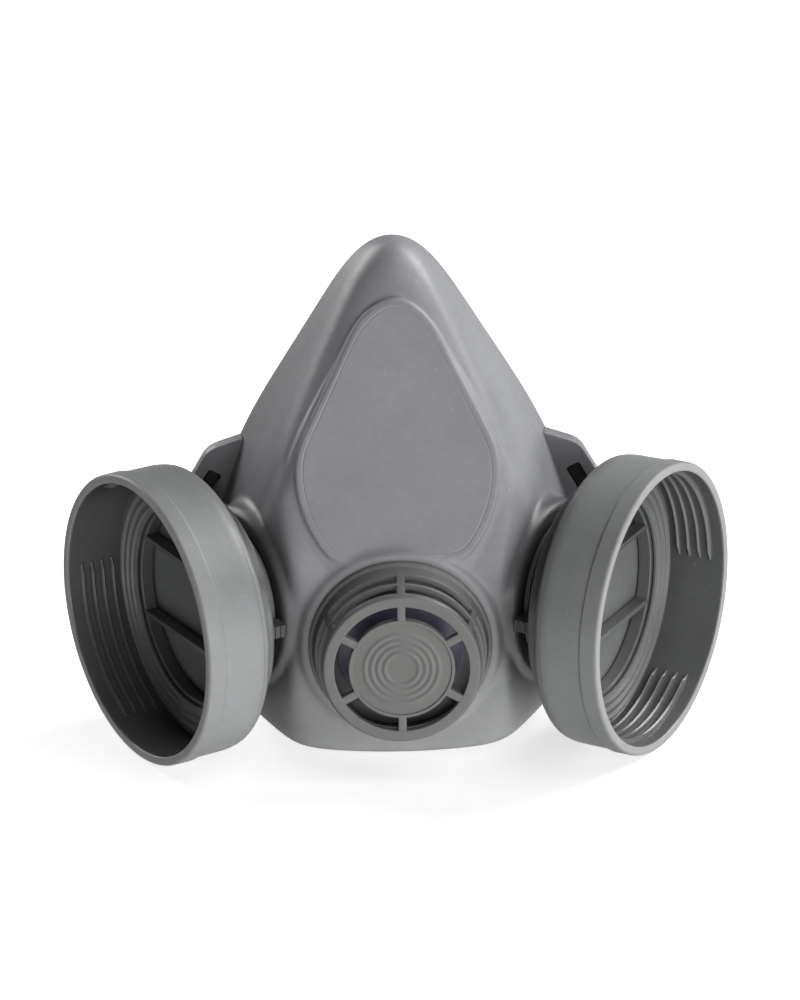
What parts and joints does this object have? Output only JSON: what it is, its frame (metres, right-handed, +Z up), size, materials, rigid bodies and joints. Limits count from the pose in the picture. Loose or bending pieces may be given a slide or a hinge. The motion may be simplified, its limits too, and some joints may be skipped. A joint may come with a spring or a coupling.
{
  "type": "twin-filter half mask respirator",
  "caption": "Rubber half mask respirator with a front panel, a caged exhalation valve, angled threaded filter cups and side strap lugs.",
  "frame": {"origin": "middle of the mask seen from above, on the surface that it stands on", "axes": "+Z up as the mask is worn, -Y forwards along the exhalation valve, +Y towards the wearer's face, +X towards the right-hand cup seen from the front"},
  "size_m": [0.1622, 0.0814, 0.1207],
  "materials": {
    "rubber": "matt moulded grey rubber",
    "valve_plastic": "matt moulded grey plastic",
    "cover_plastic": "satin moulded grey plastic",
    "cup_plastic": "satin moulded grey plastic",
    "blue_silicone": "smooth dark blue silicone",
    "grey_silicone": "smooth grey silicone",
    "flap_silicone": "smooth light grey silicone",
    "black_plastic": "matt black plastic"
  },
  "bodies": {
    "mask": {"facepiece": "rubber", "exhalation_seat": "valve_plastic", "exhalation_seal": "grey_silicone", "exhalation_retaining_ring": "valve_plastic", "left_filter_cup": "cup_plastic", "left_filter_gasket": "grey_silicone", "left_inhalation_port": "valve_plastic", "left_port_seal": "grey_silicone", "left_port_ring": "valve_plastic", "right_filter_cup": "cup_plastic", "right_filter_gasket": "grey_silicone", "right_inhalation_port": "valve_plastic", "right_port_seal": "grey_silicone", "right_port_ring": "valve_plastic", "left_strap_slide": "black_plastic", "right_strap_slide": "black_plastic"},
    "diaphragm": {"exhalation_diaphragm": "blue_silicone"},
    "cover": {"exhalation_cover": "cover_plastic"},
    "left_flap": {"left_inhalation_flap": "flap_silicone"},
    "right_flap": {"right_inhalation_flap": "flap_silicone"}
  },
  "joints": [
    {"name": "exhalation_lift", "type": "slide", "parent": "mask", "child": "diaphragm", "axis": [0, -1, 0], "range_m": [0, 0.0012], "stiffness_N_per_m": 40},
    {"name": "cover_pull_off", "type": "slide", "parent": "mask", "child": "cover", "axis": [0, -1, 0], "range_m": [0, 0.02]},
    {"name": "left_inhalation_lift", "type": "slide", "parent": "mask", "child": "left_flap", "axis": [0.8788, 0.4772, 0], "range_m": [0, 0.0012], "stiffness_N_per_m": 40},
    {"name": "right_inhalation_lift", "type": "slide", "parent": "mask", "child": "right_flap", "axis": [-0.8788, 0.4772, 0], "range_m": [0, 0.0012], "stiffness_N_per_m": 40}
  ]
}
